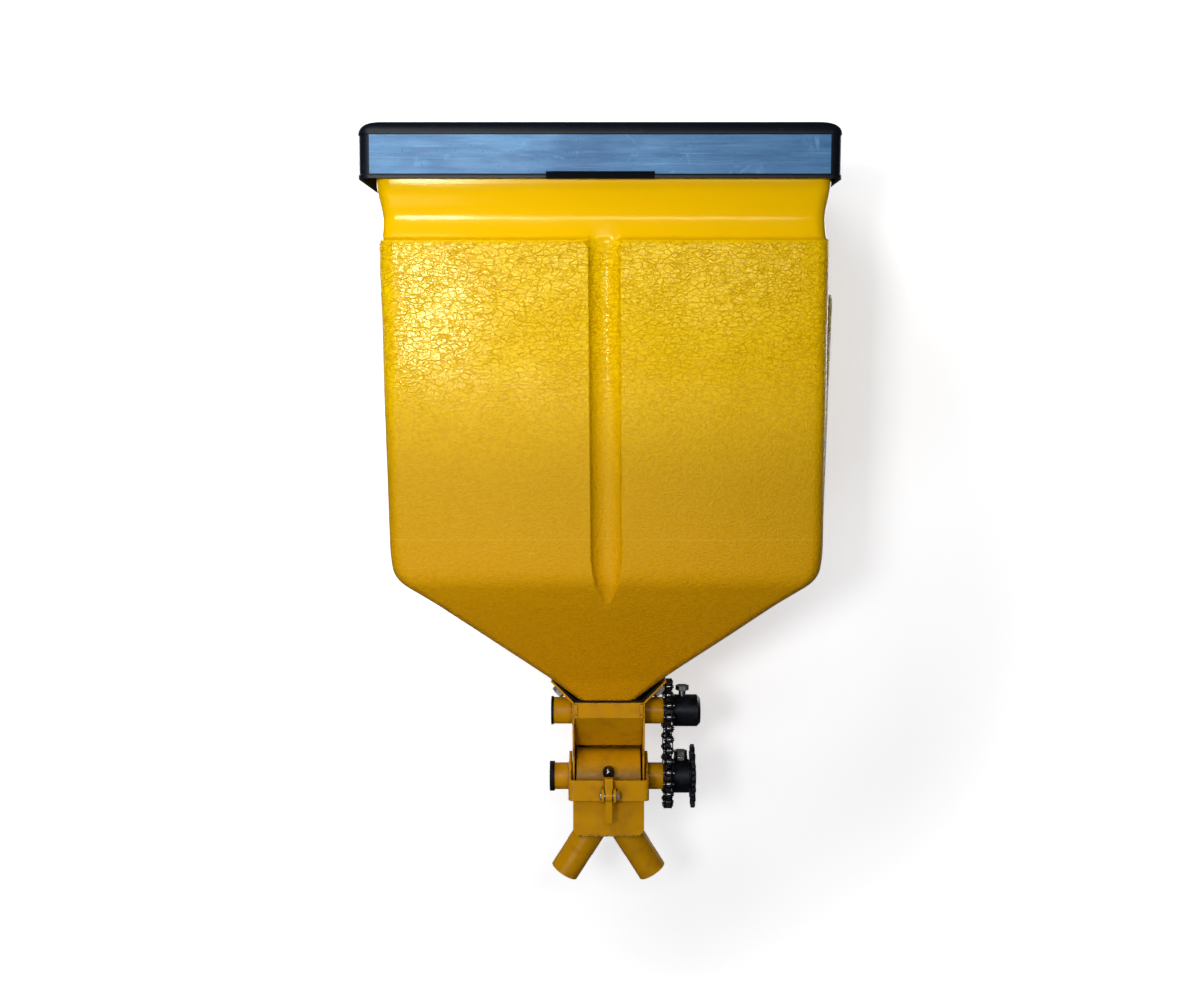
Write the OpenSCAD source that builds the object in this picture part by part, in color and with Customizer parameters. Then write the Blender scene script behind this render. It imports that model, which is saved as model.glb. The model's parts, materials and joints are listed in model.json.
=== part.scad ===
// Granule hopper with a two-outlet metering unit: a moulded hopper and lift-off lid on a sheet-steel body that
// holds an agitator shaft above a fluted metering shaft, joined by roller chain on the right-hand side.
// Millimetres. X to the right seen from the front, Y to the rear, Z up. The origin is the centre of the four
// rear mounting holes, on the bracket's back face, level with the midpoint between the two shafts.

/* [Hopper and lid] */
// half the width over the hopper's rim
rim_half_width = 225; // [222:0.5:228]
// half the depth over the hopper's rim
rim_half_depth = 167; // [155:0.5:175]
// height of the rim's top edge above the shaft midpoint
rim_top = 661.5; // [645:0.1:661.5]
// wall thickness of the moulded hopper
hopper_wall = 4; // [3:0.5:5]
// depth of the upright channel in the front and back walls
channel_depth = 10; // [6:0.5:14]
// half the width over the lid
lid_half_width = 236.5; // [236:0.5:242]
// half the depth over the lid
lid_half_depth = 178; // [177:0.5:185]
// height of the lid's skirt
lid_height = 55.2; // [45:0.1:60]
// wall thickness of the lid
lid_wall = 3; // [2:0.5:4]

// how far the lid sits left of the metering body's middle
lid_shift = 9.4; // [6:0.1:10]
// how far the hopper's mouth sits left of the metering body's middle
mouth_shift = 1.8; // [0:0.1:2]
// how far the hopper leans left over 100 mm of height
hopper_lean = 0.72; // [0:0.01:0.8]

/* [Metering body] */
// half the distance between the side plates' inner faces
body_half = 38; // [38:0.5:38]
// sheet thickness of the body
sheet = 2; // [1.5:0.5:2]
// depth of the body's front face in front of the shafts
front_depth = 46; // [46:1:48]
// depth of the body's back face behind the shafts
back_depth = 50; // [48:1:52]
// stand-off of the rear bracket's back face behind the body
bracket_depth = 26; // [20:1:30]

/* [Shafts and chain] */
// chain pitch, half an inch
pitch = 12.7; // [12.7:0.1:12.7]
// pitches between the two shafts
span_pitches = 6; // [6:1:6]
// teeth on each sprocket
teeth = 16; // [16:1:16]
// shaft radius
shaft_r = 8; // [7:0.5:8]
// running clearance round a turning part, on the radius
run_gap = 0.05; // [0.03:0.01:0.1]
// outside radius of the bearing tubes
tube_r = 15; // [15:0.5:15.5]
// distance from the middle to the end of the bearing tubes
tube_end = 62; // [60:0.5:62]
// middle of the chain, right of the centre
chain_x = 67.2; // [67.2:0.1:67.6]

/* [Outlets, shutter and lever] */
// tilt of each outlet tube from upright, in degrees
outlet_tilt = 32; // [30:0.5:34]
// outside radius of the outlet tubes
outlet_r = 16.85; // [16:0.05:17]
// wall thickness of the outlet tubes
outlet_wall = 3.4; // [2.5:0.1:3.5]
// length of each outlet tube from where the two axes cross
outlet_length = 95; // [85:0.5:100]
// outside radius of the shutter drum
shutter_r = 32; // [31:0.5:32]
// radius of the metering rotor
rotor_r = 27; // [24:0.5:28]
// length of the clamp lever below its pivot
lever_length = 30.5; // [25:0.5:45]

/* [Hidden] */
$fn = 64;
sy = -(back_depth + bracket_depth);   // the shafts' plane, in Y
half_c = pitch * span_pitches / 2;    // half the distance between the shafts
z_up = half_c;
z_lo = -half_c;
pd_r = pitch / (2 * sin(180 / teeth));
roller_r = 3.88;
pin_r = 1.85;
tooth_w = 4.3;
body_top = 57.7;
box_top = -50;
box_bottom = -93;
box_half = 39.4;
throat_z = 60;
strap_in = 41.4;
strap_t = 3;
strap_front = 62;
strap_top = -25.5;
strap_low = -48.6;
lever_y = -70;
lever_z = -40;
knob_r = 45.2;
knob_a = 21.8;
cross_z = -69;
spigot_r = outlet_r - 0.25;
spigot_length = 34;
bush_r = 12;
yellow = [0.93, 0.72, 0.04];
dark = [0.09, 0.09, 0.10];
zinc = [0.75, 0.75, 0.76];

// a cylinder along X from x0 to x1 about the line through y, z
module rod(x0, x1, r, y = 0, z = 0) {
  translate([x0, sy + y, z]) rotate([0, 90, 0]) cylinder(r = r, h = x1 - x0);
}

// a profile drawn in Y and Z, extruded along X from x0 to x1
module side_profile(x0, x1) {
  translate([x0, sy, 0]) rotate([90, 0, 90]) linear_extrude(x1 - x0) children();
}

// a profile drawn in X and Z, extruded along Y from y0 to y1
module front_profile(y0, y1) {
  translate([0, sy + y1, 0]) rotate([90, 0, 0]) linear_extrude(y1 - y0) children();
}

// one loop of points: a rounded rectangle with a channel of half-width w and depth d in its front and back
function arc_pts(cx, cy, r, a0, n = 6) = [for (i = [0:n]) [cx + r * cos(a0 + 90 * i / n), cy + r * sin(a0 + 90 * i / n)]];
function channel_pts(b, w, d, s) = [for (i = [-4:4]) [s * w * i / 4, -s * (b - d * (1 + cos(45 * i)) / 2)]];
function loop_pts(a, b, r, w = 16, d = 0) = concat(
  channel_pts(b, w, d, 1),
  arc_pts(a - r, -b + r, r, -90), arc_pts(a - r, b - r, r, 0),
  channel_pts(b, w, d, -1),
  arc_pts(-a + r, b - r, r, 90), arc_pts(-a + r, -b + r, r, 180));
function ring(q, dx) = [for (p = loop_pts(q[0], q[1], q[2], q[4], q[5])) [p[0] - dx, sy + p[1], q[3]]];
function lean_at(z) = mouth_shift + hopper_lean * (z - throat_z) / 100;

// the middle of a loop
function middle(l) = [(l[0][0] + l[8][0]) / 2, sy, l[0][2]];

// joins the loops in order; closed makes a tube of them, and otherwise both ends are capped
module skin(loops, closed) {
  n = len(loops[0]);
  m = len(loops);
  last = closed ? m - 1 : m - 2;
  polyhedron(
    points = concat([for (l = loops) for (p = l) p], closed ? [] : [middle(loops[0]), middle(loops[m - 1])]),
    faces = concat(
      [for (j = [0:last]) for (i = [0:n - 1])
        [j * n + i, ((j + 1) % m) * n + i, ((j + 1) % m) * n + (i + 1) % n]],
      [for (j = [0:last]) for (i = [0:n - 1])
        [j * n + i, ((j + 1) % m) * n + (i + 1) % n, j * n + (i + 1) % n]],
      closed ? [] : [for (i = [0:n - 1]) [m * n, i, (i + 1) % n]],
      closed ? [] : [for (i = [0:n - 1]) [m * n + 1, (m - 1) * n + (i + 1) % n, (m - 1) * n + i]]),
    convexity = 6);
}

// the hopper's outside, bottom to top: half-width, half-depth, corner radius, height, channel half-width and depth
function hopper_loops(t) = [
  [31.7 - t, 44 - t, 10 - t / 2, throat_z, 4, 0],
  [61 - t, 60 - t, 13 - t / 2, 85.6 + t * 0.3, 4, 0],
  [rim_half_width - 48 - t, rim_half_depth - 29 - t, 15 - t, 182, 3, 0],
  [rim_half_width - 11.5 - t, rim_half_depth - 8 - t, 16 - t, 208, 12, channel_depth * 0.6],
  [rim_half_width - 5.7 - t, rim_half_depth - 6.2 - t, 15 - t, 219, 16, channel_depth * 0.9],
  [rim_half_width - 4.9 - t, rim_half_depth - 6 - t, 14 - t, 234, 16, channel_depth],
  [rim_half_width - 1.3 - t, rim_half_depth - 2 - t, 14 - t, 541, 16, channel_depth],
  [rim_half_width - 2.6 - t, rim_half_depth - 4 - t, 14 - t, 553, 16, channel_depth * 0.5],
  [rim_half_width - 4.2 - t, rim_half_depth - 7 - t, 14 - t, 566, 16, 1],
  [rim_half_width - 4.8 - t, rim_half_depth - 8 - t, 14 - t, 578, 16, 0],
  [rim_half_width - 3.0 - t, rim_half_depth - 5 - t, 14 - t, 592, 16, 0],
  [rim_half_width - t, rim_half_depth - t, 14 - t, 605, 16, 0],
  [rim_half_width - t, rim_half_depth - t, 14 - t, rim_top, 16, 0]];

module hopper() color(yellow) {
  outside = [for (q = hopper_loops(0)) ring(q, lean_at(q[3]))];
  n = len(outside);
  inside = [for (q = hopper_loops(hopper_wall)) ring(q, lean_at(q[3]))];
  skin(concat(outside, [for (i = [0:n - 1]) inside[n - 1 - i]]), true);
}

// raised panel moulded on the right-hand wall, thicker at its top
module hopper_rib() color(yellow) front_profile(-138, 138)
  polygon([[217.15, 238], [219.8, 238], [227.6, 499], [226, 504], [218.37, 504]]);

// flat frame under the hopper's mouth, with a wedge up each side
module hopper_gasket() color(dark) {
  translate([-37.8, sy - front_depth + 2, body_top]) difference() {
    cube([75.6, front_depth + back_depth - 4, throat_z - body_top]);
    translate([10, 6, -1]) cube([55.6, front_depth + back_depth - 16, 9]);
  }
  for (s = [-1, 1]) scale([s, 1, 1]) front_profile(-front_depth + 2, back_depth - 2)
    polygon([[36.3, throat_z], [39.4, throat_z], [58.4, 79.2], [57.1, 80.2]]);
}

module side_outline() polygon([[-front_depth, body_top], [-front_depth, 6], [-34, -6], [-34, box_top],
  [back_depth, box_top], [back_depth, body_top]]);

// side plate with its flared wing at the top, drawn for the right-hand side
module side_plate() {
  difference() {
    side_profile(body_half, body_half + sheet) side_outline();
    for (z = [z_lo, z_up]) rod(body_half - 1, body_half + sheet + 1, bush_r, 0, z);
  }
  difference() {
    front_profile(-front_depth, back_depth) polygon([[body_half, body_top], [body_half + 2.8, body_top],
      [body_half + 24.6 + 1, body_top + 23.3], [body_half + 24.6 - 0.6, body_top + 24.8]]);
    for (y = [-30, 34]) wing_bolt_place(y) cylinder(r = 4.2, h = 12, center = true);
  }
}

// carries its child to a bolt through the right-hand wing, Z pointing out and down
module wing_bolt_place(y) translate([body_half + 14.6, sy + y, body_top + 12]) rotate([0, 135, 0]) children();

module right_side_plate() color(yellow) side_plate();
module left_side_plate() color(yellow) mirror([1, 0, 0]) side_plate();

module front_plate() color(yellow) side_profile(-body_half, body_half)
  polygon([[-front_depth, body_top], [-front_depth, 40.8], [-8.2, 0], [-6.7, 1.4], [-front_depth + 2, 41.6],
    [-front_depth + 2, body_top]]);

module rear_plate() color(yellow) translate([-body_half, sy + back_depth - 2, box_top])
  cube([2 * body_half, 2, body_top - box_top]);

module rear_guide() color(yellow) side_profile(-body_half, body_half)
  polygon([[back_depth - 2, 41], [10.5, 0.5], [12, -1], [back_depth - 2, 38]]);

// part of a ring from angle a0 to a1, counted from the front round over the top
module drum_sector(r0, r1, a0, a1) intersection() {
  difference() {
    circle(r = r1);
    circle(r = r0);
  }
  polygon([[0, 0], for (k = [0:6]) let (a = a0 + (a1 - a0) * k / 6) [-60 * cos(a), 60 * sin(a)]]);
}

module rear_trough() color(yellow) side_profile(-box_half + 2, box_half - 2) translate([0, z_lo])
  drum_sector(34, 36, 108, 215);

module rear_bracket() color(yellow) difference() {
  translate([-body_half, sy + back_depth, -60]) cube([2 * body_half, bracket_depth, 118]);
  translate([-body_half + 4, sy + back_depth - 1, -61]) cube([2 * body_half - 8, bracket_depth - 3, 120]);
  for (x = [-22, 22], z = [-45, 45]) translate([x, 1, z]) rotate([90, 0, 0]) cylinder(r = 5.5, h = 8);
}

// a rod along the right-hand outlet's axis, from above the crossing down to its end, or past it by extra
module outlet_rod(r, extra = 0) translate([0, sy, cross_z]) rotate([0, 180 - outlet_tilt, 0])
  translate([0, 0, -20]) cylinder(r = r, h = outlet_length + 20 + extra);

module outlet_box() color(yellow) difference() {
  union() {
    difference() {
      front_profile(-front_depth, back_depth) box_outline(0);
      front_profile(-front_depth + 2, back_depth - 2) box_outline(2);
    }
  }
  for (s = [-1, 1]) scale([s, 1, 1]) intersection() {
    outlet_rod(outlet_r);
    translate([0, sy - 30, box_bottom - 1]) cube([60, 60, 4]);
  }
}

module box_outline(t) union() {
  translate([-box_half + t, box_bottom + 8]) square([2 * (box_half - t), box_top - box_bottom - 8 + t / 2]);
  translate([-box_half + 8, box_bottom + t]) square([2 * box_half - 16, 8]);
  for (s = [-1, 1]) translate([s * (box_half - 8), box_bottom + 8]) circle(r = 8 - t);
}

module flow_divider() color(yellow) front_profile(-front_depth + 2, back_depth - 2)
  polygon([[-1, box_bottom + 2], [1, box_bottom + 2], [1, box_bottom + 14], [0, box_bottom + 20],
    [-1, box_bottom + 14]]);

// mitred tube with a turned spigot at its end, which takes a hose
module outlet() intersection() {
  difference() {
    union() {
      outlet_rod(outlet_r, -spigot_length);
      outlet_rod(spigot_r);
    }
    outlet_rod(outlet_r - outlet_wall, 1);
  }
  translate([0, sy - 40, -200]) cube([120, 80, 200 + box_bottom + 2]);
}

module right_outlet() color(yellow) outlet();
module left_outlet() color(yellow) mirror([1, 0, 0]) outlet();

module bearing_tubes() color(yellow) for (z = [z_lo, z_up], s = [-1, 1]) difference() {
  rod(s > 0 ? body_half + sheet : -tube_end, s > 0 ? tube_end : -body_half - sheet, tube_r, 0, z);
  rod(-tube_end - 1, tube_end + 1, bush_r, 0, z);
}

module bearing_bushes() color([0.3, 0.28, 0.25]) for (z = [z_lo, z_up], s = [-1, 1]) {
  inner = z < 0 ? 33 : body_half;
  difference() {
    rod(s > 0 ? inner : -60, s > 0 ? 60 : -inner, bush_r, 0, z);
    rod(-62, 62, shaft_r + run_gap, 0, z);
  }
}

module upper_left_cap() color(dark) {
  rod(-tube_end - 2.7, -tube_end, tube_r + 1, 0, z_up);
  rod(-tube_end, -tube_end + 1.6, bush_r, 0, z_up);
}

module lower_left_cap() color(dark) difference() {
  rod(-tube_end - 4.5, -tube_end + 0.8, tube_r + 1.8, 0, z_lo);
  rod(-tube_end, -tube_end + 2, tube_r, 0, z_lo);
}

// U-shaped strap: a front band, two bends, and an arm each side ending in an eye round the bearing tube
module clamp_strap() color(yellow) {
  outer = strap_in + strap_t;
  difference() {
    union() {
      translate([-outer + 6, sy - strap_front, strap_low]) cube([2 * outer - 12, strap_t, strap_top - strap_low]);
      for (s = [-1, 1]) scale([s, 1, 1]) {
        translate([outer - 6, sy - strap_front + 6, strap_low]) intersection() {
          difference() {
            cylinder(r = 6, h = strap_top - strap_low);
            translate([0, 0, -1]) cylinder(r = 3, h = strap_top - strap_low + 2);
          }
          translate([0, -7, -1]) cube([7, 7, 40]);
        }
        difference() {
          union() {
            side_profile(strap_in, outer) translate([0, z_lo]) circle(r = 28);
            side_profile(strap_in, outer) translate([-strap_front + 6, strap_low])
              square([strap_front - 6, strap_top - strap_low]);
          }
          rod(strap_in - 1, outer + 1, tube_r, 0, z_lo);
        }
      }
    }
    translate([-5, sy - strap_front - 1, strap_low + 2]) cube([10, strap_t + 2, 40]);
  }
}

module lever_ears() color(yellow) for (s = [-1, 1]) difference() {
  side_profile(s > 0 ? 5 : -8, s > 0 ? 8 : -5) union() {
    translate([lever_y, lever_z]) circle(r = 8);
    translate([lever_y, lever_z - 8]) square([-strap_front - lever_y, 16]);
  }
  rod(-9, 9, 3, lever_y, lever_z);
}

module lever_pivot() color(zinc) {
  rod(-9.2, 8, 3, lever_y, lever_z);
  rod(-9.2, -8, 4.5, lever_y, lever_z);
  translate([8, sy + lever_y, lever_z]) rotate([0, 90, 0]) cylinder(r = 5.8, h = 4, $fn = 6);
}

// flat lever with a wider head above its pivot
module clamp_lever() color(yellow) difference() {
  union() {
    side_profile(-3.8, 3.8) union() {
      translate([lever_y, lever_z]) circle(r = 7);
      polygon([[lever_y - 4, lever_z + 8], [lever_y - 4.6, lever_z - 8], [lever_y - 2.5, lever_z - lever_length],
        [lever_y + 2.5, lever_z - lever_length], [lever_y + 4.6, lever_z - 8], [lever_y + 4, lever_z + 8]]);
    }
    translate([-4.5, sy + lever_y - 4, lever_z + 8]) cube([9, 8, 12]);
  }
  rod(-9, 9, 3 + run_gap, lever_y, lever_z);
}

module hex_bolt(shank) {
  translate([0, 0, -shank]) cylinder(r = 4, h = shank);
  cylinder(r = 7.5, h = 5.3, $fn = 6);
}

module hopper_bolts() color(zinc) for (s = [-1, 1], y = [-30, 34]) scale([s, 1, 1]) wing_bolt_place(y)
  translate([0, 0, 1.15]) hex_bolt(1.9);

// welded tabs across the front plate's upper corners
module corner_tabs() color(yellow) for (s = [-1, 1])
  translate([s * 36 - 2, sy - front_depth - 1.2, 41]) difference() {
    cube([4, 1.2, 15]);
    translate([2, 2, 3.5]) rotate([90, 0, 0]) cylinder(r = 1.1, h = 4);
  }

// where roller number i sits round the loop, as [y, z, angle to the next one]
function roller_at(i) = let (k = i % 28, a = 360 / teeth)
  k < 8 ? [-pd_r * cos(a * k), z_up + pd_r * sin(a * k)] :
  k < 14 ? [pd_r, z_up - pitch * (k - 8)] :
  k < 22 ? [pd_r * cos(a * (k - 14)), z_lo - pd_r * sin(a * (k - 14))] :
  [-pd_r, z_lo + pitch * (k - 22)];

// one link plate between rollers i and i + 1, from x0 to x1, narrower at its middle
module link_plate(i, x0, x1) {
  p = roller_at(i);
  q = roller_at(i + 1);
  length = norm(q - p);
  translate([x0, sy + p[0], p[1]]) rotate([90, 0, 90]) rotate(atan2(q[1] - p[1], q[0] - p[0]))
    linear_extrude(x1 - x0) difference() {
      union() {
        circle(r = 4);
        translate([length, 0]) circle(r = 4);
        translate([0, -2.9]) square([length, 5.8]);
      }
      circle(r = pin_r);
      translate([length, 0]) circle(r = pin_r);
    }
}

module chain_inner_plates() color(dark) for (i = [0:2:27], s = [-1, 1])
  link_plate(i, chain_x + (s > 0 ? 2.5 : -3.5), chain_x + (s > 0 ? 3.5 : -2.5));
module chain_outer_plates() color(dark) for (i = [1:2:27], s = [-1, 1])
  link_plate(i, chain_x + (s > 0 ? 3.7 : -4.7), chain_x + (s > 0 ? 4.7 : -3.7));
module chain_rollers() color(zinc) for (i = [0:27]) difference() {
  rod(chain_x - 2.4, chain_x + 2.4, roller_r, roller_at(i)[0], roller_at(i)[1]);
  rod(chain_x - 3, chain_x + 3, pin_r, roller_at(i)[0], roller_at(i)[1]);
}
module chain_pins() color(zinc) for (i = [0:27])
  rod(chain_x - 6, chain_x + 6, pin_r, roller_at(i)[0], roller_at(i)[1]);

// toothed plate about the line through z, between x0 and x1
module sprocket_plate(x0, x1, z) side_profile(x0, x1) translate([0, z]) difference() {
  circle(r = 35.7);
  for (i = [0:teeth - 1]) rotate(360 / teeth * i) {
    translate([pd_r, 0]) circle(r = 4.2);
    polygon([[pd_r, -4.2], [pd_r + 5, -5.6], [pd_r + 5, 5.6], [pd_r, 4.2]]);
  }
  circle(r = shaft_r);
}

module metering_sprocket() color(dark) {
  sprocket_plate(chain_x - tooth_w / 2, chain_x + tooth_w / 2, z_lo);
  difference() {
    rod(tube_end + 0.5, chain_x - tooth_w / 2, 14, 0, z_lo);
    rod(tube_end, chain_x, shaft_r, 0, z_lo);
  }
  difference() {
    rod(chain_x + tooth_w / 2, 72.5, 14, 0, z_lo);
    rod(chain_x, 73, shaft_r, 0, z_lo);
  }
}

module agitator_sprocket() color(dark) {
  sprocket_plate(chain_x - tooth_w / 2, chain_x + tooth_w / 2, z_up);
  difference() {
    rod(tube_end + 0.5, chain_x - tooth_w / 2, 14, 0, z_up);
    rod(tube_end, chain_x, shaft_r, 0, z_up);
  }
  difference() {
    rod(chain_x + tooth_w / 2, 73.7, 14, 0, z_up);
    rod(chain_x, 74, shaft_r, 0, z_up);
  }
}

module metering_shaft() color(zinc) rod(-59.5, 99.5, shaft_r, 0, z_lo);
module agitator_shaft() color(zinc) rod(-59.5, 100, shaft_r, 0, z_up);

module metering_rotor() color([0.12, 0.12, 0.12]) side_profile(-31, 31) translate([0, z_lo]) difference() {
  circle(r = rotor_r);
  for (i = [0:7]) rotate(45 * i) translate([rotor_r, 0]) circle(r = 7);
  circle(r = shaft_r);
}

module agitator_fingers() color(zinc) for (i = [0:3]) translate([-18 + 12 * i, sy, z_up]) rotate([90 * i + 45, 0, 0])
  difference() {
    cylinder(r = 4, h = 25);
    rotate([0, 90, 0]) cylinder(r = shaft_r, h = 20, center = true);
  }

// hub with a radial hole for its set bolt
module hub(x0, x1, r, z, bolt_x) difference() {
  rod(x0, x1, r, 0, z);
  rod(x0 - 1, x1 + 1, shaft_r, 0, z);
  translate([bolt_x, sy, z]) cylinder(r = 4, h = r + 5);
}

module metering_hub() color(dark) hub(72.5, 91.5, 19, z_lo, 82);
module agitator_hub() color(dark) {
  hub(73.7, 100, 18, z_up, 83.4);
  translate([100, sy, z_up]) rotate([0, 90, 0]) cylinder(r1 = 18, r2 = 14, h = 3.6);
}

// set bolt down to the shaft, with its head on top
module set_bolt(x, z, head) translate([x, sy, z]) {
  translate([0, 0, shaft_r + 0.05]) cylinder(r = 4, h = head - shaft_r);
  translate([0, 0, head]) cylinder(r = 7.5, h = 5.3, $fn = 6);
}
module agitator_set_bolt() color(zinc) set_bolt(83.4, z_up, 23.7);
module metering_set_bolt() color(zinc) set_bolt(82, z_lo, 24.3);
module metering_lock_nut() color(zinc) translate([82, sy, z_lo + 19.6]) difference() {
  cylinder(r = 8.1, h = 4.2, $fn = 6);
  translate([0, 0, -1]) cylinder(r = 4, h = 8);
}

module input_sprocket() color(dark) {
  sprocket_plate(93.25, 97.75, z_lo);
  difference() {
    rod(91.5, 93.25, 15, 0, z_lo);
    rod(91, 94, shaft_r, 0, z_lo);
  }
}

// locking collars inside the body that keep the shafts from sliding
module collar(x0, x1, r, z) difference() {
  rod(x0, x1, r, 0, z);
  rod(x0 - 1, x1 + 1, shaft_r, 0, z);
}
module metering_collar() color(zinc) collar(97.75, 99.5, 11, z_lo);
module agitator_collar() color(zinc) collar(-37.4, -31, 13, z_up);

// half drum in front of the rotor, with end discs that turn on the lower bushes
module shutter() color(yellow) difference() {
  union() {
    side_profile(-36, 36) translate([0, z_lo]) drum_sector(shutter_r - 2, shutter_r, -35, 100);
    for (s = [-1, 1]) side_profile(s > 0 ? 34 : -36, s > 0 ? 36 : -34) translate([0, z_lo]) {
      drum_sector(14, shutter_r - 1, -35, 100);
      circle(r = 16);
    }
  }
  rod(-40, 40, bush_r + run_gap, 0, z_lo);
}

module on_knob_line() translate([0, sy, z_lo]) rotate([-knob_a, 0, 0]) rotate([90, 0, 0]) children();
module shutter_stud() color(zinc) on_knob_line() translate([0, 0, shutter_r])
  cylinder(r = 3, h = knob_r - shutter_r - 6.2);
module shutter_knob() color([0.2, 0.2, 0.21]) difference() {
  on_knob_line() translate([0, 0, knob_r]) sphere(r = 7);
  on_knob_line() cylinder(r = 3, h = knob_r - 6.2);
}

// the lid's inside then outside, ceiling to skirt to top
function lid_loops() = [
  [lid_half_width - lid_wall - 4, lid_half_depth - lid_wall - 4, 8, 664.9 - lid_wall, 16, 0],
  [lid_half_width - lid_wall, lid_half_depth - lid_wall, 9, 664.9 - lid_wall - 5, 16, 0],
  [lid_half_width - lid_wall, lid_half_depth - lid_wall, 9, 664.9 - lid_height, 16, 0],
  [lid_half_width, lid_half_depth, 12, 664.9 - lid_height, 16, 0],
  [lid_half_width, lid_half_depth, 12, 653.6, 16, 0],
  [lid_half_width - 1.5, lid_half_depth - 1.5, 11, 658.6, 16, 0],
  [lid_half_width - 5, lid_half_depth - 5, 10, 662.6, 16, 0],
  [lid_half_width - 11, lid_half_depth - 11, 8, 664.9, 16, 0]];

module lid() color(dark) skin([for (q = lid_loops()) ring(q, lid_shift)], false);

hopper();
hopper_rib();
hopper_gasket();
left_side_plate();
right_side_plate();
front_plate();
rear_plate();
rear_guide();
rear_trough();
rear_bracket();
outlet_box();
flow_divider();
left_outlet();
right_outlet();
bearing_tubes();
bearing_bushes();
upper_left_cap();
lower_left_cap();
clamp_strap();
lever_ears();
lever_pivot();
hopper_bolts();
corner_tabs();
chain_inner_plates();
chain_outer_plates();
chain_rollers();
chain_pins();
metering_shaft();
metering_rotor();
metering_sprocket();
metering_hub();
metering_set_bolt();
metering_lock_nut();
input_sprocket();
metering_collar();
agitator_shaft();
agitator_fingers();
agitator_sprocket();
agitator_hub();
agitator_set_bolt();
agitator_collar();
shutter();
shutter_stud();
shutter_knob();
clamp_lever();
lid();
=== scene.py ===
"""Looks for the granule hopper with a two-outlet metering unit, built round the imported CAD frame.

Metres, in the CAD frame: +X right, -Y to the camera, +Z up. The shafts run along X.
"""

import json
import math
import random

import bmesh
import bpy
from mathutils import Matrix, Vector, noise


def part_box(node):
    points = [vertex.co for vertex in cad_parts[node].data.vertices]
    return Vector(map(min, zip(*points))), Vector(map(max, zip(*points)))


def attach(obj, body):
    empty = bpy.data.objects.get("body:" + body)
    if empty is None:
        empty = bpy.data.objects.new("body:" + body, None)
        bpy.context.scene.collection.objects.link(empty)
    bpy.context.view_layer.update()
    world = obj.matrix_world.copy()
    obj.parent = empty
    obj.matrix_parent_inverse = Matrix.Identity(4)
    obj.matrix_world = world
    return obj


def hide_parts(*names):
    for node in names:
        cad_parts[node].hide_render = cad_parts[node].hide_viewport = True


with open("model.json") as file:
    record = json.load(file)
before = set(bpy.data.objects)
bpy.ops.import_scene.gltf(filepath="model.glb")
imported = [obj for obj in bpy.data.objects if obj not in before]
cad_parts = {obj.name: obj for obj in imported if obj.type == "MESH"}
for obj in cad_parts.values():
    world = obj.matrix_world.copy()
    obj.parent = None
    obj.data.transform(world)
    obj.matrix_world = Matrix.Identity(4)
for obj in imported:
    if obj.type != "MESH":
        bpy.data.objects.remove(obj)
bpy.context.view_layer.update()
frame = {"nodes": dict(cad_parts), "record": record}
NODES = frame["nodes"]
MM = 0.001
random.seed(7)

# ---------------------------------------------------------------- sizes read from the frame
hopper_lo, hopper_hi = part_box("hopper")
lid_lo, lid_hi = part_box("lid")
SY = (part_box("metering_shaft")[0].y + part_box("metering_shaft")[1].y) / 2
RIM_A = 0.2250  # half the rim's width; the CAD box is wider than this, as the hopper leans
RIM_B = (hopper_hi.y - hopper_lo.y) / 2
LID_A = (lid_hi.x - lid_lo.x) / 2
LID_B = (lid_hi.y - lid_lo.y) / 2
LID_X = (lid_lo.x + lid_hi.x) / 2

# heights on the hopper
PANEL_TOP = 0.551
PANEL_BLEND = 0.0025
MOULD_SEAM = 0.2535

# the metering body, in the planes of its outside faces
SHAFT_Z = 0.0381
TUBE_X = 0.0405
PLATE_X = 0.0379
PLATE_FRONT = SY - 0.0462
OUTLET_R = 0.01685
WING_BOLT_X, WING_BOLT_Z = 0.0526, 0.0697


def lean(z):
    """How far the hopper's middle sits left of the metering body's at height z."""
    return -0.0018 - 0.0072 * (z - 0.060)


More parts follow.
